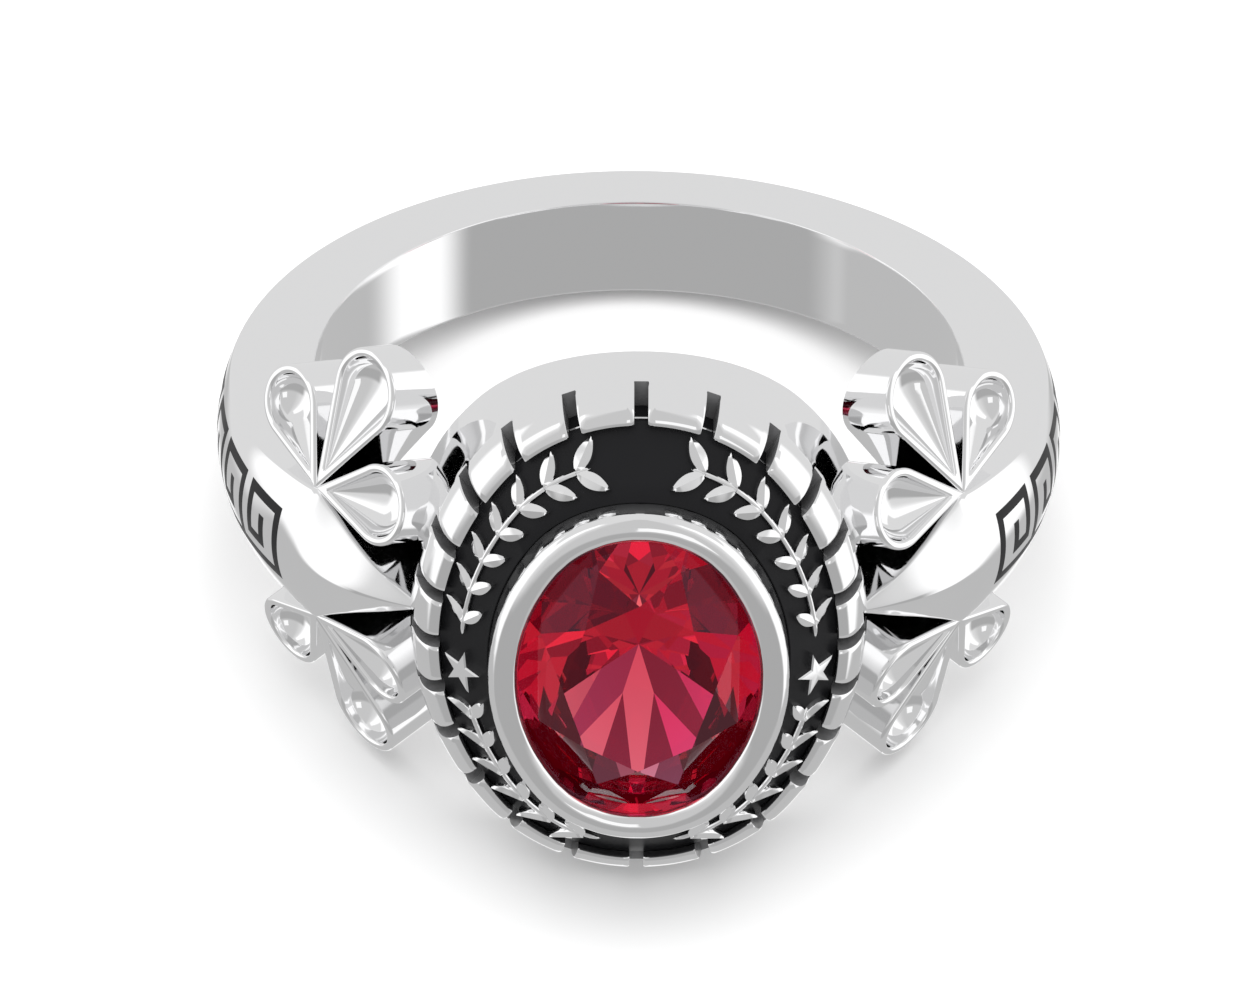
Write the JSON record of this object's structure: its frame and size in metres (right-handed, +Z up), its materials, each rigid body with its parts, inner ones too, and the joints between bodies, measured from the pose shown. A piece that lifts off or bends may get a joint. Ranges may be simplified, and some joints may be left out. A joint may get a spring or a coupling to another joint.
{
  "type": "class ring",
  "caption": "Silver class ring lying on its side: oval red stone in a bezel, sloped black collar with raised leaf sprigs, notched rim, fans of petals and a black key pattern on the band.",
  "frame": {"origin": "middle of the lying ring's footprint, on the surface that it rests on", "axes": "+X across the finger, -Y the way the head and stone face, +Z up; the finger hole's axis leans from +Z towards +Y because the ring lies on the head's edge and the band's back"},
  "size_m": [0.022, 0.0236, 0.0144],
  "materials": {
    "silver": "polished sterling silver",
    "red_stone": "faceted ruby-red stone",
    "black_enamel": "satin black enamel fill"
  },
  "bodies": {
    "root": {"ring_casting": "silver", "stone": "red_stone", "collar_enamel": "black_enamel", "left_side_enamel": "black_enamel", "right_side_enamel": "black_enamel"}
  },
  "joints": []
}
